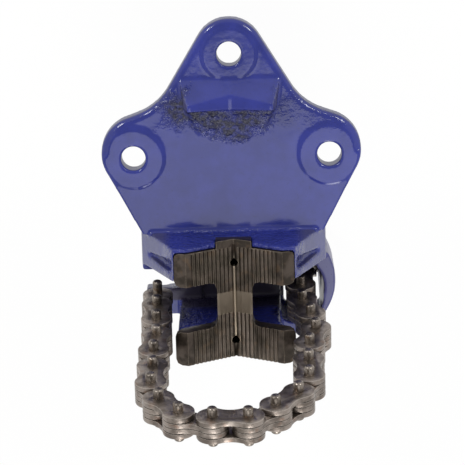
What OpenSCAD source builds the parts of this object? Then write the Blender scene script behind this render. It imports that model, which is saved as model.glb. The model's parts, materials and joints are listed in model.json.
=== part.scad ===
// Bench chain pipe vise: cast base, V jaw block, draw screw with T handle, leaf chain.
// +Z up as bolted to a bench, +Y towards the rear lug, X across; z = 0 is the bench face.
// Lengths in mm.

/* [Base plate] */
// distance between the two side bolt holes
hole_span = 112; // [100:1:125]
// distance of the rear bolt hole behind the side holes
rear_hole_y = 59; // [50:1:70]
// bolt hole diameter, for M12 or half inch bolts
bolt_d = 14; // [10:0.5:18]
// thickness of the plate
plate_t = 12; // [8:0.5:16]
// radius of the rear lug
rear_lug_r = 20; // [15:0.5:24]
// radius of the side lugs
side_lug_r = 21.5; // [18:0.5:26]
// radius of the hollow between rear and side lugs
hollow_r = 34; // [10:1:50]
// height of the pad round each side hole
pad_h = 1.5; // [0.5:0.5:2]

/* [Pipe rest] */
// height of the rest above the plate face
rest_h = 15; // [8:1:20]
// depth of its valley
rest_valley = 6; // [4:1:12]
// half width of the rest at its crest
rest_half = 24; // [16:1:30]

/* [Body] */
// half width of the rear cheek at bench level
cheek_half = 53.5; // [50:0.5:58]
// how far the body reaches below the bench face
apron_depth = 46; // [40:1:60]
// thickness of the deck between the cheeks
deck_t = 10; // [6:1:14]
// depth of the hollow in each flank
flank_cut = 5; // [2:0.5:7]
// width between the two chain horns
horn_gap = 17; // [15:0.5:20]

/* [Jaw] */
// length of the jaw block along the pipe
jaw_len = 65.5; // [55:0.5:80]
// overall width of the jaw block
jaw_w = 68.4; // [60:0.2:80]
// length of each toothed bar along the pipe
bar_len = 19.5; // [15:0.5:24]
// width of the bridge between the bars
web_w = 20; // [12:0.5:26]
// slope of each V flank from level
vee_a = 32.5; // [28:0.5:40]
// height of the V bottom above the bench face
vee_z = 29; // [24:0.5:36]
// thickness of the jaw block, measured upright
jaw_t = 12; // [8:0.5:16]
// tooth spacing across the V
tooth_pitch = 2.7; // [2:0.1:4]
// tooth depth
tooth_h = 1.1; // [0.6:0.1:1.6]

/* [Chain] */
// pin spacing, three quarters of an inch
pitch = 19.05; // [15.875:0.005:25.4]
// radius of the rounded plate ends
plate_r = 8.8; // [6:0.1:11]
// half width of the plate waist
waist = 6.6; // [4:0.1:9]
// thickness of an outer plate
outer_t = 3; // [2:0.1:4]
// thickness of an inner plate
inner_t = 2.9; // [2:0.1:4]
// pin radius
pin_r = 2.8; // [2:0.1:4]
// overall pin length
pin_len = 23; // [18:0.5:30]
// forward lean of the slack chain loop
lean = 10.5; // [0:0.5:19]

/* [Draw screw] */
// sideways place of the screw
screw_x = 40; // [36:0.5:44]
// screw diameter over the thread
screw_d = 16; // [12:1:20]
// lead of the thread
lead = 4; // [2:0.5:6]
// height of the swivel pin above the bench face (negative: below)
swivel_z = -50; // [-60:0.5:-46]
// spacing of the two crossed holes of the swivel link
swivel_len = 20.5; // [18:0.5:26]
// length of the handle bar
bar_length = 120; // [90:5:160]
// diameter of the handle bar
bar_d = 10; // [8:0.5:13]
// angle of the handle bar at rest, from +Y towards -X
bar_a = 27; // [0:1:90]

/* [Hidden] */
$fn = 48;
e = 0.01;
run = 0.05;                       // radial running clearance
gap_y = -81.2;                    // centre of the chain slot between the bars
jaw_rear = gap_y + jaw_len/2;     // rear end of the jaw block
jaw_front = gap_y - jaw_len/2;
slope = tan(vee_a);
tip_x = jaw_w/2 - 7;              // inner end of the flat arm tips
cheek_rear = -44;                 // back of the body, in front of the bench edge
cheek_face = -65.5;               // front of the rear cheek
front_face = gap_y - 15.8;        // back of the front cheek
front_end = -112.8;               // front of the body
seat_z = vee_z - jaw_t;           // bottom of the V seat
notch_z = vee_z - 5.2;            // bottom of the notch in the rear wall
boss_bottom = -96;
boss_top = -80;
washer_t = 3;
nut_top = boss_bottom - washer_t - 0.1;
nut_bottom = nut_top - 61;
bar_z = nut_bottom + 9;
screw_end = nut_top - 23;
bar_shift = bar_length/2 - 28;    // how far the bar is slid through the nut
stack_in = 0.1;                   // half gap between the two inner plates
stack_out = stack_in + inner_t + 0.3;
tongue = 9.2;                     // width of the swivel link in the screw's fork
ear_t = 4.4;                      // thickness of a fork ear
ear_x = tongue/2 + 0.2 + ear_t/2; // sideways place of an ear

// headings of the chain links in the chain plane, from straight up, clockwise, from the screw
// end to the free end
head = [0.5, 0.4, 12.7, 6.9, -12.7, -3.3, -1.2, -19.3, -41.6, -50.5,
        -91.2, -108.9, -145.3, -165.7, -181.5, -180.6, -183.6, -178.2, -179.4, -180];
root_x = screw_x - 1.4;

blue = [0.20, 0.22, 0.50];
steel = [0.45, 0.44, 0.42];
dark = [0.20, 0.19, 0.18];

// ---------- helpers ----------
module along_y(y0, y1, pts)       // polygon in x,z run from y0 up to y1
    translate([0, y1, 0]) rotate([90, 0, 0]) linear_extrude(y1 - y0) polygon(pts);
module along_x(x0, x1, pts)       // polygon in y,z run from x0 up to x1
    translate([x0, 0, 0]) rotate([90, 0, 90]) linear_extrude(x1 - x0) polygon(pts);
module rod_y(x, z, r, y0, y1)
    translate([x, y1, z]) rotate([90, 0, 0]) cylinder(r = r, h = y1 - y0);
module rod_x(y, z, r, x0, x1)
    translate([x0, y, z]) rotate([0, 90, 0]) cylinder(r = r, h = x1 - x0);
module both() { children(); mirror([1, 0, 0]) children(); }

function dir(a) = [cos(a), sin(a)];
function meet(p, a, q, b) =       // point x with dir(p).x = a and dir(q).x = b
    let (m = dir(p), n = dir(q), d = m[0]*n[1] - m[1]*n[0])
    [(a*n[1] - b*m[1])/d, (b*m[0] - a*n[0])/d];

// ---------- casting ----------
edge_a = 31.3;                    // outward direction of the rear lug's side
edge_b = 70.1;                    // outward direction of the side lug's back
edge_d = -28.3;                   // outward direction of the side lug's front
skin = 0.01;                      // keeps straight edges just clear of the lug circles
rear_lug = [0, rear_hole_y];
side_lug = [hole_span/2 - 3.3, 2.5];
off_a = dir(edge_a)*rear_lug + rear_lug_r + skin;
off_b = dir(edge_b)*side_lug + side_lug_r + skin;
off_d = dir(edge_d)*side_lug + side_lug_r + skin;
knee = meet(edge_a, off_a, edge_b, off_b);
hollow = meet(edge_a, off_a + hollow_r, edge_b, off_b + hollow_r);
corner_x = (off_d - sin(edge_d)*cheek_rear)/cos(edge_d);

// point on the edge line of direction a, t past where it touches the lug at c
function past(c, r, a, t) = c + (r + skin)*dir(a) + t*[-sin(a), cos(a)];

module plate() {
    top = past(rear_lug, rear_lug_r, edge_a, 0.8);
    back = past(side_lug, side_lug_r, edge_b, -0.8);
    fore = past(side_lug, side_lug_r, edge_d, 0.8);
    translate([rear_lug[0], rear_lug[1], 0]) cylinder(r = rear_lug_r, h = plate_t);
    both() translate([side_lug[0], side_lug[1], 0]) cylinder(r = side_lug_r, h = plate_t);
    linear_extrude(plate_t) polygon([
        [top[0], top[1]], knee, back, fore, [corner_x, cheek_rear - 1],
        [-corner_x, cheek_rear - 1], [-fore[0], fore[1]], [-back[0], back[1]],
        [-knee[0], knee[1]], [-top[0], top[1]]]);
    both() difference() {
        linear_extrude(plate_t)
            polygon([knee - 4*dir((edge_a + edge_b)/2), hollow - (hollow_r + 3)*dir(edge_a),
                hollow, hollow - (hollow_r + 3)*dir(edge_b)]);
        translate([hollow[0], hollow[1], -1]) cylinder(r = hollow_r + 2*skin, h = plate_t + 2);
    }
    both() translate([hole_span/2, 0, 0]) cylinder(r = 17.5, h = plate_t + pad_h);
}

module pipe_rest() {
    z0 = plate_t - 1;
    zt = plate_t + rest_h;
    difference() {
        intersection() {
            along_x(-40, 40, [[45.4, z0], [44.6, plate_t], [32.4, zt], [28.6, zt],
                [28.2, plate_t + 5.5], [22, plate_t + 2.6], [14, plate_t + 0.8], [6, plate_t - 0.4],
                [6, z0]]);
            along_y(0, 50, [[-rest_half - 4.6, z0], [rest_half + 4.6, z0], [rest_half, zt],
                [-rest_half, zt]]);
            translate([0, 0, z0]) linear_extrude(rest_h + 2) polygon([
                [-rest_half - 5, 46], [rest_half + 5, 46], [rest_half + 2, 28.6],
                [rest_half - 10, 6], [10 - rest_half, 6], [-rest_half - 2, 28.6]]);
        }
        along_y(0, 50, [[0, zt - rest_valley], [rest_half, zt + e], [-rest_half, zt + e]]);
        translate([0, rear_hole_y, plate_t]) cylinder(r = 14.7, h = rest_h + 2);
    }
}

// V block outline in x,z, used for the jaw and for the room it takes in the casting
jaw_tip_z = vee_z + tip_x*slope;
function jaw_outline(up) = [
    [0, vee_z + up], [tip_x, jaw_tip_z + up], [jaw_w/2, jaw_tip_z - 3.5 + up],
    [jaw_w/2, seat_z + jaw_w/2*slope], [0, seat_z], [-jaw_w/2, seat_z + jaw_w/2*slope],
    [-jaw_w/2, jaw_tip_z - 3.5 + up], [-tip_x, jaw_tip_z + up]];

module rear_cheek() {
    top = jaw_tip_z - 1.2;
    intersection() {
        along_y(cheek_face, cheek_rear, [[-cheek_half, -apron_depth], [cheek_half, -apron_depth],
            [cheek_half, 0], [jaw_w/2 + 0.4, top - 1.5], [tip_x, top], [0, vee_z - 1.2],
            [-tip_x, top], [-jaw_w/2 - 0.4, top - 1.5], [-cheek_half, 0]]);
        along_x(-60, 60, [[cheek_face, -apron_depth], [cheek_rear, -apron_depth],
            [cheek_rear, plate_t], [cheek_rear - 2.4, 50], [cheek_face, 50]]);
    }
}

module flank_hollows() both() intersection() {
    along_y(cheek_face + 2, cheek_face + 14, [[cheek_half - 2, 3],
        [cheek_half - 5 - flank_cut, 14], [jaw_w/2 + 1, jaw_tip_z - 8 - 2*flank_cut],
        [jaw_w/2 + 1, jaw_tip_z + 2], [cheek_half + 2, 3]]);
    linear_extrude(60) polygon([[cheek_half - 0.5, cheek_face + 8.3],
        [jaw_w/2 + 1, cheek_face + 4.4], [jaw_w/2 + 1, cheek_face + 12.4]]);
}

module front_cheek() {
    waist_z = vee_z - 13;             // below this the chain passes close by
    along_y(front_end, front_face, [[-32.6, -apron_depth], [25.6, -apron_depth],
        [26.4, waist_z], [jaw_w/2 - 2.4, jaw_tip_z - 5], [tip_x, jaw_tip_z - 1], [0, vee_z - 1],
        [-tip_x, jaw_tip_z - 1], [1.2 - jaw_w/2, jaw_tip_z - 5], [-33, waist_z]]);
}

module deck() {
    z0 = -apron_depth;
    translate([-27, front_face - 2, z0]) cube([54, cheek_face - front_face + 4, deck_t]);
    // horns that catch the chain pins from above, on the open side
    difference() {
        translate([-cheek_half + 0.5, gap_y - 25, z0])
            cube([cheek_half - 20, cheek_face - gap_y + 26, deck_t + 2]);
        translate([-cheek_half - 1, gap_y - horn_gap/2, z0 - 1])
            cube([cheek_half - 30.5, horn_gap, deck_t + 4]);
        rod_y(-43, z0, pin_r + 0.4, gap_y - 40, gap_y + 14);
    }
    // ledge under the left flank
    translate([-cheek_half, -69.3, z0]) cube([26, 5, apron_depth - 0.5]);
}

module eye_ring() {
    z0 = -apron_depth;
    h = apron_depth - 8;
    difference() {
        intersection() {
            translate([25, gap_y + 1.2, z0]) cylinder(r = 34.2, h = h);
            translate([18, gap_y - 31.3, z0]) cube([50, 49, h]);
        }
        intersection() {
            union() {
                translate([32.8, gap_y - 2.8, z0 + 5]) cylinder(r = 19.5, h = h);
                translate([36.5, gap_y - 8.8, z0 + 5]) cylinder(r = 15.5, h = h);
                translate([20, gap_y - 18, z0 + 5]) cube([14, 32.3, h]);
                translate([29, gap_y - 21, z0 - 1]) cube([22, 36, h]);
            }
            translate([27, gap_y - 40, z0 - 2]) cube([50, 80, h + 4]);
        }
        translate([17, front_face, z0 + deck_t]) cube([10.1, cheek_face - front_face, h]);
    }
}

module screw_bracket() {
    translate([22, cheek_face - 1, boss_bottom]) cube([32.6, 8, apron_depth*2 - 24]);
    both_sides = [[22, 29.2], [50.9, 54.6]];
    for (s = both_sides)
        along_x(s[0], s[1], [[cheek_face, boss_bottom], [gap_y - 4, boss_bottom],
            [gap_y - 13, boss_top], [gap_y - 25, -apron_depth + 2], [cheek_face, -apron_depth + 2]]);
    translate([screw_x, gap_y, boss_bottom]) cylinder(r = 16, h = boss_top - boss_bottom);
    translate([24, gap_y - 2, boss_bottom]) cube([32, cheek_face - gap_y + 3, boss_top - boss_bottom]);
}

module base_casting() color(blue) difference() {
    union() {
        plate();
        pipe_rest();
        difference() {
            rear_cheek();
            flank_hollows();
        }
        front_cheek();
        deck();
        eye_ring();
        screw_bracket();
    }
    both() translate([hole_span/2, 0, -1]) cylinder(d = bolt_d, h = plate_t + pad_h + 2);
    translate([0, rear_hole_y, -1]) cylinder(d = bolt_d, h = plate_t + 2);
    along_y(jaw_front - 2, jaw_rear, jaw_outline(30));
    // notch for the rear tongue of the jaw block
    translate([-web_w/2 - 0.3, jaw_rear - 1, notch_z]) cube([web_w + 0.6, 10, 40]);
    translate([screw_x, gap_y, boss_bottom - 1]) cylinder(r = screw_d/2 + 0.4, h = 30);
    for (y = [jaw_rear - bar_len/2, jaw_front + bar_len/2])
        translate([0, y, seat_z - 14]) cylinder(r = 3, h = 16);
}

// ---------- jaw ----------
module bar_plan(y0) translate([0, 0, -20]) linear_extrude(90) polygon([
    [3.4 - jaw_w/2, y0], [jaw_w/2 - 3.4, y0], [jaw_w/2 - 1, y0 + 1], [jaw_w/2, y0 + 3.4],
    [jaw_w/2, y0 + bar_len - 3.4], [jaw_w/2 - 1, y0 + bar_len - 1], [jaw_w/2 - 3.4, y0 + bar_len],
    [3.4 - jaw_w/2, y0 + bar_len], [1 - jaw_w/2, y0 + bar_len - 1],
    [-jaw_w/2, y0 + bar_len - 3.4], [-jaw_w/2, y0 + 3.4], [1 - jaw_w/2, y0 + 1]]);
module web_plan() translate([0, 0, -20]) linear_extrude(90) {
    h = jaw_len/2 - bar_len;          // half the gap between the bars
    w = web_w/2;
    polygon([[w + 4, -h - 6], [w + 4, -h], [w + 1.2, 1 - h], [w, 4 - h], [w, h - 4],
        [w + 1.2, h - 1], [w + 4, h], [w + 4, h + 6], [-w - 4, h + 6], [-w - 4, h],
        [-w - 1.2, h - 1], [-w, h - 4], [-w, 4 - h], [-w - 1.2, 1 - h], [-w - 4, -h],
        [-w - 4, -h - 6]]);
}

module jaw_block() color(dark) difference() {
    union() {
        for (y0 = [jaw_front, jaw_rear - bar_len]) intersection() {
            along_y(y0, y0 + bar_len, jaw_outline(0));
            bar_plan(y0);
        }
        intersection() {
            along_y(jaw_front + 4, jaw_rear - 4, jaw_outline(0));
            translate([0, gap_y, 0]) web_plan();
        }
        // tongue that locks the block in the rear wall
        intersection() {
            along_y(jaw_rear - 2, cheek_rear - 0.4, jaw_outline(0));
            translate([-web_w/2, jaw_rear - 2, notch_z + 0.3]) cube([web_w, 8, 20]);
        }
    }
    // V teeth across both bars, running out on the bridge
    for (i = [0:9], s = [-1, 1]) let (x = s*(2.6 + i*tooth_pitch*cos(vee_a)))
        if (abs(x) < tip_x - 1.2) {
            along_y(jaw_front - 1, jaw_front + bar_len + 7, tooth(x));
            along_y(jaw_rear - bar_len - 7, jaw_rear - 0.6, tooth(x));
        }
    // centre groove
    along_y(jaw_front - 1, jaw_rear + 1, [[0, vee_z - 1], [1.1, vee_z + 1], [-1.1, vee_z + 1]]);
    for (y = [jaw_rear - bar_len/2, jaw_front + bar_len/2]) {
        translate([0, y, seat_z - 1]) cylinder(r = 3, h = 9);
        translate([0, y, seat_z + 7]) cylinder(r = 2.3, h = 9);
    }
}
function tooth(x) = let (z = vee_z + abs(x)*slope, s = sign(x))
    [[x - s*0.9, z - 0.9*slope + 0.4], [x - s*0.9, z - 0.9*slope + 0.05],
     [x + s*0.25, z + 0.25*slope - tooth_h], [x + s*1.0, z + 1.0*slope + 0.05],
     [x + s*0.6, z + 1.0*slope + 1.2]];

module jaw_pins() color(steel) for (y = [jaw_rear - bar_len/2, jaw_front + bar_len/2])
    translate([0, y, seat_z - 13.9]) difference() {
        cylinder(r = 3, h = 21.8);
        translate([0, 0, -1]) cylinder(r = 2, h = 24);
        translate([-0.4, 0, -1]) cube([0.8, 4, 24]);
    }

// ---------- draw screw and handle ----------
module draw_screw() color(steel) difference() {
    union() {
        translate([screw_x, gap_y, screw_end]) cylinder(d = screw_d, h = swivel_z - 10 - screw_end);
        translate([screw_x, gap_y, swivel_z - 14]) cylinder(r = 9.9, h = 4.5);
        for (s = [-1, 1]) {
            rod_x(gap_y, swivel_z, 8, screw_x + s*ear_x - ear_t/2, screw_x + s*ear_x + ear_t/2);
            translate([screw_x + s*ear_x - ear_t/2, gap_y - 8, swivel_z - 12]) cube([ear_t, 16, 12]);
        }
    }
    rod_x(gap_y, swivel_z, 4, screw_x - 12, screw_x + 12);
    for (s = [-1, 1]) translate([screw_x, gap_y + s*19.5, swivel_z - 13]) cube([30, 23, 60], center = true);
    translate([screw_x, gap_y, screw_end - e]) difference() {
        cylinder(r = screw_d, h = 1.5);
        cylinder(r1 = screw_d/2 - 1.5, r2 = screw_d/2, h = 1.5);
    }
}
module swivel_pin() color(steel) {
    rod_x(gap_y, swivel_z, 4, screw_x - ear_x - ear_t/2 - 0.8, screw_x + ear_x + ear_t/2);
    rod_x(gap_y, swivel_z, 5.1, screw_x + ear_x + ear_t/2, screw_x + ear_x + ear_t/2 + 1);
}
module swivel_link() color(steel)
    lean_frame() difference() {
        union() {
            rod_x(0, 0, 8, screw_x - tongue/2, screw_x + tongue/2);
            translate([screw_x - tongue/2, -3, 0]) cube([tongue, 6, swivel_len - 3]);
            rod_y(root_x, swivel_len, 8, -3, 3);
        }
        rod_x(0, 0, 4 + run, screw_x - 12, screw_x + 12);
        rod_y(root_x, swivel_len, pin_r + run, -4, 4);
    }
module thrust_washer() color(steel) translate([screw_x, gap_y, boss_bottom - washer_t])
    difference() {
        cylinder(r = 15, h = washer_t);
        translate([0, 0, -1]) cylinder(r = screw_d/2 + 0.4, h = washer_t + 2);
    }
module handle_nut() color(steel) difference() {
    translate([screw_x, gap_y, nut_bottom]) union() {
        cylinder(r = 13, h = nut_top - nut_bottom);
        translate([0, 0, nut_top - nut_bottom - 6]) cylinder(r = 15.5, h = 6);
    }
    translate([screw_x, gap_y, bar_z + 9]) cylinder(r = screw_d/2 + run, h = 60);
    bar_frame() translate([0, 0, -20]) cylinder(r = bar_d/2 + run, h = 40);
}
module bar_frame() translate([screw_x, gap_y, bar_z]) rotate([0, 0, bar_a]) rotate([-90, 0, 0])
    children();
module handle_bar() color(steel) bar_frame()
    translate([0, 0, bar_shift - bar_length/2]) cylinder(r = bar_d/2, h = bar_length);
module bar_ball(z) color(steel) bar_frame() translate([0, 0, z]) difference() {
    sphere(r = 8);
    translate([0, 0, z > 0 ? -20 : -5]) cylinder(r = bar_d/2, h = 25);
}
module bar_ball_near() bar_ball(bar_shift - bar_length/2 + 5);
module bar_ball_far() bar_ball(bar_shift + bar_length/2 - 5);

// ---------- chain ----------
module lean_frame() translate([0, gap_y, swivel_z]) rotate([lean, 0, 0]) children();
function chain_x(n) = n == 0 ? root_x : chain_x(n - 1) + pitch*sin(head[n - 1]);
function chain_z(n) = n == 0 ? swivel_len : chain_z(n - 1) + pitch*cos(head[n - 1]);
module link_frame(n) lean_frame() translate([chain_x(n), 0, chain_z(n)])
    rotate([0, head[n], 0]) children();

module side_plate(y0, t, hole) difference() {
    union() {
        rod_y(0, 0, plate_r, y0, y0 + t);
        rod_y(0, pitch, plate_r, y0, y0 + t);
        translate([-plate_r + 1, y0, 0]) cube([plate_r*2 - 2, t, pitch]);
    }
    for (s = [-1, 1]) rod_y(s*(waist + 14), pitch/2, 14, y0 - 1, y0 + t + 1);
    for (z = [0, pitch]) rod_y(0, z, hole, y0 - 1, y0 + t + 1);
}
module outer_plates(n) color(steel) link_frame(n) {
    side_plate(stack_out, outer_t, pin_r);
    side_plate(-stack_out - outer_t, outer_t, pin_r);
}
module inner_plates(n) color(steel) link_frame(n) {
    side_plate(stack_in, inner_t, pin_r + run);
    side_plate(-stack_in - inner_t, inner_t, pin_r + run);
}
module chain_pin() {
    l = pin_len/2;
    rod_y(0, 0, pin_r, 0.8 - l, l - 0.8);
    translate([0, l - 0.8, 0]) rotate([-90, 0, 0]) cylinder(r1 = pin_r, r2 = pin_r - 0.8, h = 0.8);
    translate([0, 0.8 - l, 0]) rotate([90, 0, 0]) cylinder(r1 = pin_r, r2 = pin_r - 0.8, h = 0.8);
}
module link_pins(n) color(steel) link_frame(n) {
    chain_pin();
    translate([0, 0, pitch]) chain_pin();
}
module end_pin() color(steel) link_frame(19) translate([0, 0, pitch]) chain_pin();

base_casting();
jaw_block();
jaw_pins();
draw_screw();
swivel_pin();
swivel_link();
thrust_washer();
handle_nut();
handle_bar();
bar_ball_near();
bar_ball_far();
outer_plates(0);  // outer_plates_01
link_pins(0);  // link_pins_01
inner_plates(1);  // inner_plates_01
outer_plates(2);  // outer_plates_02
link_pins(2);  // link_pins_02
inner_plates(3);  // inner_plates_02
outer_plates(4);  // outer_plates_03
link_pins(4);  // link_pins_03
inner_plates(5);  // inner_plates_03
outer_plates(6);  // outer_plates_04
link_pins(6);  // link_pins_04
inner_plates(7);  // inner_plates_04
outer_plates(8);  // outer_plates_05
link_pins(8);  // link_pins_05
inner_plates(9);  // inner_plates_05
outer_plates(10);  // outer_plates_06
link_pins(10);  // link_pins_06
inner_plates(11);  // inner_plates_06
outer_plates(12);  // outer_plates_07
link_pins(12);  // link_pins_07
inner_plates(13);  // inner_plates_07
outer_plates(14);  // outer_plates_08
link_pins(14);  // link_pins_08
inner_plates(15);  // inner_plates_08
outer_plates(16);  // outer_plates_09
link_pins(16);  // link_pins_09
inner_plates(17);  // inner_plates_09
outer_plates(18);  // outer_plates_10
link_pins(18);  // link_pins_10
inner_plates(19);  // inner_plates_10
end_pin();
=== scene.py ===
import json
from math import sin, cos, sqrt, radians, pi
import bpy, bmesh
from mathutils import Vector, Matrix
from mathutils.kdtree import KDTree


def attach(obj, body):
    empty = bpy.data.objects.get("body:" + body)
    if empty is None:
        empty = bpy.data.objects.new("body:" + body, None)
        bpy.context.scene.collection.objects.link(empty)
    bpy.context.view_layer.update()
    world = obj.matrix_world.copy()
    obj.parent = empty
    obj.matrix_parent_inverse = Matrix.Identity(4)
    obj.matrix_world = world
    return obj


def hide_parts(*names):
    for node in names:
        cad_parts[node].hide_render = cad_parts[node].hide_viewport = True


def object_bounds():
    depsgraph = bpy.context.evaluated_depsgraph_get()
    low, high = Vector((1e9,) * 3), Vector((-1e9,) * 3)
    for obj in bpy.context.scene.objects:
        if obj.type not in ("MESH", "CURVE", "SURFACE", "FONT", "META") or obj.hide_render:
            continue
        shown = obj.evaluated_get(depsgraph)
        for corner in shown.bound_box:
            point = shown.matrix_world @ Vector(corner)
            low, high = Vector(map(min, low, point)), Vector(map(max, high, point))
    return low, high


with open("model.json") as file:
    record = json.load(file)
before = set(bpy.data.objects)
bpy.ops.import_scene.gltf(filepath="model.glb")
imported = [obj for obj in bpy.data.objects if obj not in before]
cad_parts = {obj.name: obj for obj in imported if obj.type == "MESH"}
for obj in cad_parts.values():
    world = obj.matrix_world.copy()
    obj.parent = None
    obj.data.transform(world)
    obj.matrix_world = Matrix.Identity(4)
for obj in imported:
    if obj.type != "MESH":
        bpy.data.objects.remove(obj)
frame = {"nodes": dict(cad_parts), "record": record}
CAD_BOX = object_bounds()
scene = bpy.context.scene

# ---------------------------------------------------------------- the part, in metres
record = frame["record"]
BODY = {node: body for body, nodes in record["behaviour"]["bodies"].items() for node in nodes}
SLOT = {piece["node"]: piece["material_slot"] for piece in record["subparts"]}
MOUNT = {mount["name"]: mount for mount in record["mounts"]}
JOINT = {joint["name"]: joint for joint in record["behaviour"]["joints"]}

HALF_SPAN = MOUNT["side_bolts"]["dims"]["spacing_x_mm"] / 2000
PLATE_TOP = MOUNT["rear_bolt"]["dims"]["length_mm"] / 1000
SIDE_HOLES = [Vector((HALF_SPAN, 0)), Vector((-HALF_SPAN, 0))]
REAR_HOLE = Vector(MOUNT["rear_bolt"]["pos_m"][:2])
HOLES = [*SIDE_HOLES, REAR_HOLE]
SCREW = Vector(JOINT["nut_turn"]["pos_m"][:2])     # its axis, midway between the toothed bars


# ---------------------------------------------------------------- camera
# The photograph was taken from above the plate, tilted towards the rear lug, with a long lens.
TILT, YAW, ROLL = radians(14.13), radians(0.31), radians(1.43)
DISTANCE = 1.339
AIM = Vector((-0.0005, -0.0449, 0.012))
LENS_MM = 180.2
SENSOR_MM = 36


def make_camera():
    back = Vector((sin(YAW) * cos(TILT), sin(TILT), cos(TILT) * cos(YAW))).normalized()
    up = Vector((0, cos(TILT), -sin(TILT)))
    up = (up - up.dot(back) * back).normalized()
    right = up.cross(back)
    rolled_up = cos(ROLL) * up + sin(ROLL) * right
    rolled_right = cos(ROLL) * right - sin(ROLL) * up
    camera = bpy.data.cameras.new("camera")
    camera.lens = LENS_MM
    camera.sensor_width = SENSOR_MM
    camera.clip_end = 20
    ob = bpy.data.objects.new("camera", camera)
    scene.collection.objects.link(ob)
    turn = Matrix((rolled_right, rolled_up, back)).transposed().to_4x4()
    ob.matrix_world = Matrix.Translation(AIM + DISTANCE * back) @ turn
    scene.camera = ob


make_camera()


# ---------------------------------------------------------------- materials
def srgb(hexa):
    """An sRGB hex colour, made linear."""
    out = []
    for i in (0, 2, 4):
        c = int(hexa[i:i + 2], 16) / 255
        out.append(c / 12.92 if c <= 0.04045 else ((c + 0.055) / 1.055) ** 2.4)
    return (*out, 1.0)


def add(nt, kind, inputs=None, out=0, **settings):
    """A node with its settings, and with values or links in its inputs. Gives one output."""
    n = nt.nodes.new("ShaderNode" + kind)
    for key, value in settings.items():
        setattr(n, key, value)
    for key, value in (inputs or {}).items():
        if isinstance(value, bpy.types.NodeSocket):
            nt.links.new(value, n.inputs[key])
        else:
            n.inputs[key].default_value = value
    return n.outputs[out]


def mask(nt, *steps):
    """The product of smooth steps: each value, where its step starts and ends, and its levels."""
    product = None
    for value, start, end, *levels in steps:
        low, high = levels or (0.0, 1.0)
        step = add(nt, "MapRange", {0: value, 1: start, 2: end, 3: low, 4: high},
                   interpolation_type="SMOOTHSTEP")
        if product is not None:
            step = add(nt, "Math", {0: product, 1: step}, operation="MULTIPLY")
        product = step
    return product


def new_material(name):
    m = bpy.data.materials.new(name)
    m.use_nodes = True
    return m, m.node_tree, m.node_tree.nodes["Principled BSDF"]


def per_metre(size_mm):
    """How often a pattern of this size comes in a metre, which is the scale of its noise."""
    return 1000 / size_mm


CLOUD = {"Scale": per_metre(22.222), "Detail": 4, "Roughness": 0.6}
RAGGED = {"Scale": per_metre(9.0909), "Detail": 4, "Roughness": 0.7}
WAVES = {"Scale": per_metre(16.667), "Detail": 2, "Roughness": 0.4}
PEEL = {"Scale": per_metre(3.3333), "Detail": 2, "Roughness": 0.5}
SAND = {"Scale": per_metre(3.0303), "Detail": 2, "Roughness": 0.55}
GRAIN = {"Scale": per_metre(3.0303), "Detail": 3, "Roughness": 0.6}
PITS = {"Scale": per_metre(1.6129), "Detail": 2, "Roughness": 0.6}


def sand_and_shade_patch(nt, pos, x, y, z):
    """Coarse sand under thin paint in front of the rest, running out in a wedge, and painted dark
    there as painted shade under the rest's crest.
    """
    noise = add(nt, "TexNoise", {"Vector": pos, **RAGGED})
    centred = add(nt, "Math", {0: noise, 1: 0.5}, operation="SUBTRACT")
    ragged = add(nt, "Math", {0: centred, 1: 0.026}, operation="MULTIPLY")
    aside = add(nt, "Math", {0: x, 1: 0.002}, operation="SUBTRACT")
    aside = add(nt, "Math", {0: aside}, operation="ABSOLUTE")
    aside = add(nt, "Math", {0: aside, 1: 0.024}, operation="MINIMUM")
    wedge = add(nt, "Math", {0: aside, 1: 0.45}, operation="MULTIPLY")
    reach = add(nt, "Math", {0: y, 1: ragged}, operation="ADD")
    reach = add(nt, "Math", {0: reach, 1: wedge}, operation="SUBTRACT")
    ends = add(nt, "Math", {0: x, 1: ragged}, operation="ADD")
    return mask(nt, (reach, 0.003, 0.014), (reach, 0.030, 0.020), (ends, -0.044, -0.030),
                (z, 0.0215, 0.0190), (ends, 0.034, 0.012, 0.2, 1.0))


def slot_and_ledge_shade(nt, x, y, z, up):
    """Painted shade in the chain slot, and on the top of the ledge under the horns."""
    off_ledge = mask(nt, (x, -0.030, -0.036, 1.0, 0.0))
    up_or_off_ledge = add(nt, "Math", {0: up, 1: off_ledge}, operation="ADD")
    return mask(nt, (x, 0.036, 0.033), (y, -0.066, -0.067), (y, -0.0980, -0.0968),
                (z, -0.006, -0.022), (up_or_off_ledge, 0.2, 0.8, 0.35, 0.85))


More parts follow.
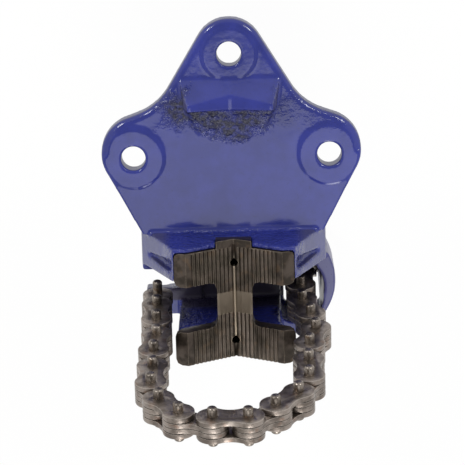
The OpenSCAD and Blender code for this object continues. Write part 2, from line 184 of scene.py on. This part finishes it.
def blue_enamel():
    """Gloss enamel sprayed over sand-cast iron: orange peel, casting waves and grainy walls."""
    m, nt, shader = new_material("blue_enamel")
    pos = add(nt, "TexCoord", out="Object")
    x, y, z = add(nt, "SeparateXYZ", {0: pos}).node.outputs
    up = add(nt, "SeparateXYZ", {0: add(nt, "NewGeometry", out="Normal")}, "Z")
    across = add(nt, "Math", {0: x}, operation="ABSOLUTE")

    # two blues in soft clouds, as the spray leaves them
    cloud = add(nt, "TexNoise", {"Vector": pos, **CLOUD})
    colour = add(nt, "Mix", {0: mask(nt, (cloud, 0.35, 0.7)), 6: srgb("20286f"),
                             7: srgb("293180")}, 2, data_type="RGBA")
    # hands and tools have rubbed the outer walls dull and greyer
    flank = mask(nt, (across, 0.034, 0.042))
    # the steep outer walls are rubbed dull, and their colour is painted greyer as a painted sheen
    # of the pale light they reflect
    rear = mask(nt, (y, 0.0, 0.02))
    outer = add(nt, "Math", {0: flank, 1: rear}, operation="MAXIMUM")
    steep = mask(nt, (up, 0.6, 0.2, 0.0, 0.8))
    rubbed_and_sheen = add(nt, "Math", {0: outer, 1: steep}, operation="MULTIPLY")
    colour = add(nt, "Mix", {0: rubbed_and_sheen, 6: colour, 7: srgb("44435f")}, 2, data_type="RGBA")
    # the eye's outer wall is painted lighter: a painted sheen on its rounded face
    eye_sheen = mask(nt, (x, 0.036, 0.040), (z, -0.003, -0.010), (y, -0.060, -0.066, 0.0, 0.75))
    colour = add(nt, "Mix", {0: eye_sheen, 6: colour, 7: srgb("5a587c")}, 2, data_type="RGBA")
    # the patch in front of the rest is painted dark and mottled by the sand: painted shade under
    # the crest's front fall, over rough casting
    sand_and_shade = sand_and_shade_patch(nt, pos, x, y, z)
    sand = add(nt, "TexNoise", {"Vector": pos, **SAND})
    gritty_and_shaded = add(nt, "Math", {0: sand_and_shade, 1: mask(nt, (sand, 0.38, 0.6, 0.45, 0.95))},
                 operation="MULTIPLY")
    colour = add(nt, "Mix", {0: gritty_and_shaded, 6: colour, 7: srgb("1b1a2b")}, 2, data_type="RGBA")
    # the chain slot and the ledge top are darkened: painted shade
    slot_shade = slot_and_ledge_shade(nt, x, y, z, up)
    colour = add(nt, "Mix", {0: slot_shade, 6: colour, 7: srgb("373037")}, 2, data_type="RGBA")
    pits = add(nt, "TexNoise", {"Vector": pos, **PITS})
    colour = add(nt, "Mix", {0: mask(nt, (pits, 0.62, 0.75, 0.0, 0.35)), 6: colour,
                             7: srgb("161a4a")}, 2, data_type="RGBA")
    nt.links.new(colour, shader.inputs["Base Color"])

    # glossy, but satin on the rubbed walls, in the shaded slot and on the sand patch
    dull = add(nt, "Math", {0: rubbed_and_sheen, 1: slot_shade}, operation="MAXIMUM")
    rough_skin = add(nt, "Math", {0: sand_and_shade, 1: 0.6}, operation="MULTIPLY")
    dull = add(nt, "Math", {0: dull, 1: rough_skin}, operation="MAXIMUM")
    nt.links.new(mask(nt, (dull, 0.0, 0.8, 0.12, 0.36)), shader.inputs["Roughness"])
    shader.inputs["IOR"].default_value = 1.5

    # relief: casting waves, orange peel, grain on the inner walls, and the sand skin
    waves = add(nt, "TexNoise", {"Vector": pos, **WAVES})
    relief = add(nt, "Bump", {"Height": waves, "Distance": 0.0004, "Strength": 0.6})
    peel = add(nt, "TexNoise", {"Vector": pos, **PEEL})
    relief = add(nt, "Bump", {"Height": peel, "Distance": 0.00006, "Strength": 0.8,
                              "Normal": relief})
    grain = add(nt, "TexNoise", {"Vector": pos, **GRAIN})
    walls = mask(nt, (up, 0.97, 0.80), (outer, 0.0, 1.0, 1.0, 0.07))
    grain = add(nt, "Math", {0: grain, 1: walls}, operation="MULTIPLY")
    relief = add(nt, "Bump", {"Height": grain, "Distance": 0.0024, "Strength": 1.0,
                              "Normal": relief})
    grit = add(nt, "Math", {0: sand, 1: sand_and_shade}, operation="MULTIPLY")
    relief = add(nt, "Bump", {"Height": grit, "Distance": 0.0020, "Strength": 0.9,
                              "Normal": relief})
    nt.links.new(relief, shader.inputs["Normal"])
    return m


def jaw_wear_and_highlight(nt, pos, colour):
    """Pipes rub the bridge between the bars bare; the bright line along the bottom of the V is a
    painted highlight.
    """
    x, y, z = add(nt, "SeparateXYZ", {0: pos}).node.outputs
    across = add(nt, "Math", {0: x}, operation="ABSOLUTE")
    along = add(nt, "Math", {0: y, 1: SCREW.y}, operation="SUBTRACT")
    along = add(nt, "Math", {0: along}, operation="ABSOLUTE")
    upper = (z, 0.022, 0.026)
    bridge = mask(nt, (along, 0.0068, 0.0060), upper, (across, 0.0104, 0.0100, 0.0, 0.9))
    colour = add(nt, "Mix", {0: bridge, 6: colour, 7: srgb("7d7264")}, 2, data_type="RGBA")
    # painted highlight: a bright line along the bottom of the V
    groove_highlight = mask(nt, (across, 0.0006, 0.0003), upper, (along, 0.030, 0.020, 0.0, 0.9))
    return add(nt, "Mix", {0: groove_highlight, 6: colour, 7: srgb("d6cdc0")}, 2, data_type="RGBA")


BLOTCHES = {"Scale": per_metre(7.6923), "Detail": 4, "Roughness": 0.62}
OIL = {"Scale": per_metre(4.7619), "Detail": 2, "Roughness": 0.5}
MARKS = {"Scale": per_metre(1.1111), "Detail": 3, "Roughness": 0.6}
WORN_EDGE = 0.0006


def steel(name, face, scale, oily, worn, rough, marks, metallic, finish=None):
    """Bare steel mottled by scale and oil, with fine marks and bright worn edges."""
    m, nt, shader = new_material(name)
    pos = add(nt, "TexCoord", out="Object")
    blotches = add(nt, "TexNoise", {"Vector": pos, **BLOTCHES})
    fine = add(nt, "TexNoise", {"Vector": pos, **MARKS})
    colour = add(nt, "Mix", {0: mask(nt, (blotches, 0.38, 0.62)), 6: srgb(scale),
                             7: srgb(face)}, 2, data_type="RGBA")
    oil = add(nt, "TexNoise", {"Vector": pos, **OIL})
    colour = add(nt, "Mix", {0: mask(nt, (oil, 0.55, 0.72, 0.0, 0.55)), 6: colour,
                             7: srgb(oily)}, 2, data_type="RGBA")
    edge = add(nt, "Bevel", {"Radius": WORN_EDGE}, samples=4)
    flat = add(nt, "NewGeometry", out="Normal")
    level = add(nt, "VectorMath", {0: edge, 1: flat}, "Value", operation="DOT_PRODUCT")
    colour = add(nt, "Mix", {0: mask(nt, (level, 0.985, 0.90, 0.0, 0.8)), 6: colour,
                             7: srgb(worn)}, 2, data_type="RGBA")
    # for the jaw this adds the rubbed bridge and the painted highlight in the V
    if finish:
        colour = finish(nt, pos, colour)
    nt.links.new(colour, shader.inputs["Base Color"])
    shader.inputs["Metallic"].default_value = metallic
    nt.links.new(mask(nt, (fine, 0.3, 0.7, *rough)), shader.inputs["Roughness"])
    relief = add(nt, "Bump", {"Height": blotches, "Distance": marks * 4, "Strength": 0.6})
    relief = add(nt, "Bump", {"Height": fine, "Distance": marks, "Strength": 0.7,
                              "Normal": relief})
    nt.links.new(relief, shader.inputs["Normal"])
    return m


MATERIAL = {
    "blue_enamel": blue_enamel(),
    # hardened jaw steel, browned by heat and cutting oil
    "oiled_steel": steel("oiled_steel", face="554c45", scale="38322c", oily="62503f",
                         worn="8f8474", rough=(0.30, 0.50), marks=0.00005, metallic=0.85,
                         finish=jaw_wear_and_highlight),
    # stamped and tumbled chain plates, grey under a film of oil
    "chain_steel": steel("chain_steel", face="948a82", scale="6c635c", oily="80685a",
                         worn="c8c0b6", rough=(0.28, 0.48), marks=0.00005, metallic=0.92),
    # drawn pins, a little smoother than the plates
    "pin_steel": steel("pin_steel", face="8a8178", scale="5f5750", oily="6e563f",
                       worn="c2bab0", rough=(0.25, 0.42), marks=0.00003, metallic=0.95),
    # turned screw, nut and handle, clean and even
    "bright_steel": steel("bright_steel", face="aca79f", scale="9c968e", oily="a0998f",
                          worn="cfcac1", rough=(0.20, 0.32), marks=0.00001, metallic=1.0),
}


# ---------------------------------------------------------------- pieces
WELD = 2e-6                  # the node's corners meet within this
FACE_LIMIT = 190000          # triangles in one piece


def smooth(me, angle):
    for p in me.polygons:
        p.use_smooth = True
    me.set_sharp_from_angle(angle=radians(angle))


def run_modifiers(ob):
    dg = bpy.context.evaluated_depsgraph_get()
    me = bpy.data.meshes.new_from_object(ob.evaluated_get(dg))
    old = ob.data
    ob.modifiers.clear()
    ob.data = me
    bpy.data.meshes.remove(old)


def taken(node, suffix, merge_flats):
    """A piece on the node's body that starts from the node's own surface, welded."""
    me = frame["nodes"][node].data.copy()
    bm = bmesh.new()
    bm.from_mesh(me)
    bmesh.ops.remove_doubles(bm, verts=bm.verts, dist=WELD)
    if merge_flats:
        bmesh.ops.dissolve_limit(bm, angle_limit=radians(0.6), verts=bm.verts, edges=bm.edges)
    bm.to_mesh(me)
    bm.free()
    me.materials.clear()
    ob = bpy.data.objects.new(node + suffix, me)
    scene.collection.objects.link(ob)
    return ob


def settle(ob, node):
    """Gives the dressed piece its finish and its body, and hides the node that it stands for."""
    ob.data.materials.append(MATERIAL[SLOT[node]])
    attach(ob, BODY[node])
    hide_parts(node)


SHANK_R = 0.008              # the plain shank of the node
CREST_R = 0.00795            # top of the thread
ROOT_R = 0.0066              # bottom of the thread
LEAD = 0.004
STEPS_PER_TURN = 32
THREAD_LOW, THREAD_HIGH = -0.1206, -0.064
RUN_IN = 0.002               # from the shank's end to the middle of the first thread
RUN_OUT = 0.0045             # what the thread leaves free of the shank's length


def wind_thread(me):
    """Cuts the plain shank down to its root and winds a trapezoid thread up it."""
    bm = bmesh.new()
    bm.from_mesh(me)
    for v in bm.verts:
        out = v.co.xy - SCREW
        on_shank = THREAD_LOW - 0.002 < v.co.z < THREAD_HIGH + 0.0001
        if on_shank and abs(out.length - SHANK_R) < 0.0001:
            v.co.xy = SCREW + out * (ROOT_R / out.length)
    sunk = ROOT_R - 0.0002
    profile = ((sunk, -0.0015), (CREST_R, -0.0007), (CREST_R, 0.0007), (sunk, 0.0015))
    ring = [bm.verts.new((SCREW.x + r, SCREW.y, THREAD_LOW + RUN_IN + z)) for r, z in profile]
    edges = [bm.edges.new((ring[k], ring[(k + 1) % 4])) for k in range(4)]
    steps = int((THREAD_HIGH - THREAD_LOW - RUN_OUT) / LEAD * STEPS_PER_TURN)
    bmesh.ops.spin(bm, geom=ring + edges, cent=(*SCREW, 0), axis=(0, 0, 1),
                   dvec=(0, 0, LEAD / STEPS_PER_TURN), angle=2 * pi * steps / STEPS_PER_TURN,
                   steps=steps)
    bmesh.ops.holes_fill(bm, edges=[e for e in bm.edges if e.is_boundary], sides=4)
    bmesh.ops.recalc_face_normals(bm, faces=bm.faces)
    bm.to_mesh(me)
    bm.free()


# how far stamping, turning or tumbling has broken the edges of each steel
BROKEN_EDGE = {"oiled_steel": 0.00018, "chain_steel": 0.00035, "pin_steel": 0.0004,
               "bright_steel": 0.0004}


def eased(node):
    """The node with its edges broken, and with its thread if it is the screw."""
    ob = taken(node, "_eased", True)
    if node == "draw_screw":
        wind_thread(ob.data)
    b = ob.modifiers.new("bevel", "BEVEL")
    b.width = BROKEN_EDGE[SLOT[node]]
    b.segments = 2
    b.limit_method = "ANGLE"
    b.angle_limit = radians(28)
    run_modifiers(ob)
    smooth(ob.data, 32)
    settle(ob, node)


REAR_PAD_R, REAR_BORE_R = 0.015, 0.0072
REAR_PAD_RISE = 0.0008
SUNK = 0.002                 # how deep the pad's ring starts inside the plate
RIM_FRONT = -0.03            # the plate's outline is rounded behind this
RIM_STEP = 0.0005
RIM_ROUND = 0.0035
PAD_FILED = 0.55             # what is left of a side pad's height
LEVEL = 1e-5


def rear_pad(me):
    """The pad round the rear hole, which the foundry left 0.8 mm proud."""
    bm = bmesh.new()
    bm.from_mesh(me)
    low = Matrix.Translation((*REAR_HOLE, PLATE_TOP - SUNK))
    ring = []
    for radius in (REAR_PAD_R, REAR_BORE_R):
        ring += bmesh.ops.create_circle(bm, segments=64, radius=radius, cap_ends=False,
                                        matrix=low)["verts"]
    edges = [e for e in bm.edges if e.verts[0] in ring]
    flat = bmesh.ops.bridge_loops(bm, edges=edges)["faces"]
    raised = bmesh.ops.extrude_face_region(bm, geom=flat, use_keep_orig=True)["geom"]
    top = [g for g in raised if isinstance(g, bmesh.types.BMVert)]
    bmesh.ops.translate(bm, vec=(0, 0, SUNK + REAR_PAD_RISE), verts=top)
    bm.to_mesh(me)
    bm.free()


def rim_points(me):
    """Points every 0.5 mm along the plate's top outline, away from the pads."""
    bm = bmesh.new()
    bm.from_mesh(me)
    bm.normal_update()
    found = []
    for e in bm.edges:
        level = all(abs(v.co.z - PLATE_TOP) < LEVEL for v in e.verts)
        if not level or len(e.link_faces) != 2:
            continue
        wall, flat = sorted(e.link_faces, key=lambda f: abs(f.normal.z))
        mid = (e.verts[0].co + e.verts[1].co) / 2
        drops = min(v.co.z for v in wall.verts) < PLATE_TOP - 0.003
        clear = min((mid.xy - h).length for h in HOLES) > 0.0185
        square = abs(wall.normal.z) < 0.05 and flat.normal.z > 0.99
        if drops and clear and square and mid.y > RIM_FRONT:
            count = max(1, round(e.calc_length() / RIM_STEP))
            found += [e.verts[0].co.lerp(e.verts[1].co, k / count) for k in range(count + 1)]
    bm.free()
    return found


def dress_plate(me, rim):
    """Rounds the plate's rear outline by 3.5 mm and files the side pads down to 0.8 mm."""
    tree = KDTree(len(rim))
    for k, co in enumerate(rim):
        tree.insert(co, k)
    tree.balance()
    for v in me.vertices:
        if not PLATE_TOP - 0.004 <= v.co.z <= PLATE_TOP + 0.002 or v.co.y < RIM_FRONT:
            continue
        if v.co.z > PLATE_TOP and min((v.co.xy - h).length for h in SIDE_HOLES) < 0.019:
            v.co.z = PLATE_TOP + PAD_FILED * (v.co.z - PLATE_TOP)
        # the round runs out towards the front of the side lugs
        radius = RIM_ROUND * min(1, max(0.05, (v.co.y + 0.012) / 0.014))
        near = tree.find(Vector((v.co.x, v.co.y, PLATE_TOP)))[2]
        if near < radius:
            v.co.z = min(v.co.z, PLATE_TOP - radius + sqrt(radius ** 2 - (radius - near) ** 2))


def remesh(ob, voxel):
    r = ob.modifiers.new("remesh", "REMESH")
    r.mode = "VOXEL"
    r.voxel_size = voxel
    run_modifiers(ob)


def cast(node, voxel):
    """The casting with every corner rounded, as it comes from the sand and under paint."""
    ob = taken(node, "_cast", False)
    rim = rim_points(ob.data)
    rear_pad(ob.data)
    remesh(ob, voxel)
    dress_plate(ob.data, rim)
    remesh(ob, voxel)
    s = ob.modifiers.new("soften", "SMOOTH")
    s.factor = 0.5
    s.iterations = 5
    run_modifiers(ob)
    count = len(ob.data.polygons) * 2
    if count > FACE_LIMIT:
        d = ob.modifiers.new("thin", "DECIMATE")
        d.ratio = FACE_LIMIT / count
        run_modifiers(ob)
    smooth(ob.data, 60)
    settle(ob, node)


cast("base_casting", 0.0008)
for name in frame["nodes"]:
    if name != "base_casting":
        eased(name)


# ---------------------------------------------------------------- stage and light
WHITE = 0.92                 # how much of the floor's white is its own, and not the lamps'
FLOOR_GAP = 0.0005
FLOOR_HALF = 4
LIT = Vector((0, -0.04, 0.02))


def white_when_seen(nt, shader):
    """Camera, glossy and transmission rays see a white surface; the rest see the plain one."""
    rays = add(nt, "LightPath").node.outputs
    seen = add(nt, "Math", {0: rays["Is Camera Ray"], 1: rays["Is Glossy Ray"]},
               operation="MAXIMUM")
    seen = add(nt, "Math", {0: seen, 1: rays["Is Transmission Ray"]}, operation="MAXIMUM")
    share = add(nt, "Math", {0: seen, 1: WHITE}, operation="MULTIPLY")
    glow = add(nt, "Emission", {"Color": srgb("ffffff"), "Strength": 1.0})
    return add(nt, "MixShader", {0: share, 1: shader, 2: glow})


def floor():
    me = bpy.data.meshes.new("floor")
    bm = bmesh.new()
    bmesh.ops.create_grid(bm, x_segments=2, y_segments=2, size=FLOOR_HALF)
    bm.to_mesh(me)
    bm.free()
    ob = bpy.data.objects.new("floor", me)
    ob.location = (0, 0, CAD_BOX[0][2] - FLOOR_GAP)
    scene.collection.objects.link(ob)
    m, nt, shader = new_material("floor")
    shader.inputs["Base Color"].default_value = srgb("e9e9e7")
    shader.inputs["Roughness"].default_value = 0.9
    surface = white_when_seen(nt, shader.outputs[0])
    nt.links.new(surface, nt.nodes["Material Output"].inputs["Surface"])
    me.materials.append(m)


def lamp(name, away, size, watts):
    """A soft lamp that looks at the vise from this far away."""
    light = bpy.data.lights.new(name, "AREA")
    light.energy = watts
    light.size = size
    ob = bpy.data.objects.new(name, light)
    ob.location = LIT + Vector(away)
    ob.rotation_euler = Vector(away).to_track_quat("Z", "Y").to_euler()
    scene.collection.objects.link(ob)


def pale_room():
    """A pale room with a dimmer ceiling, so that glossy faces show their form."""
    world = bpy.data.worlds.new("world")
    scene.world = world
    world.use_nodes = True
    nt = world.node_tree
    background = nt.nodes["Background"]
    background.inputs["Color"].default_value = srgb("fefefe")
    height = add(nt, "SeparateXYZ", {0: add(nt, "TexCoord", out="Generated")}, "Z")
    nt.links.new(mask(nt, (height, 0.45, 0.9, 1.0, 0.5)), background.inputs["Strength"])


floor()
lamp("ceiling", (0.0, -0.74, 1.7), 1.1, 6.8)
lamp("left", (-0.9, 1.0, 1.0), 0.30, 7)
lamp("right", (0.9, 1.0, 1.0), 0.30, 6)
lamp("front", (0.2, -1.5, 1.1), 0.6, 9)
pale_room()

scene.view_settings.view_transform = "Standard"
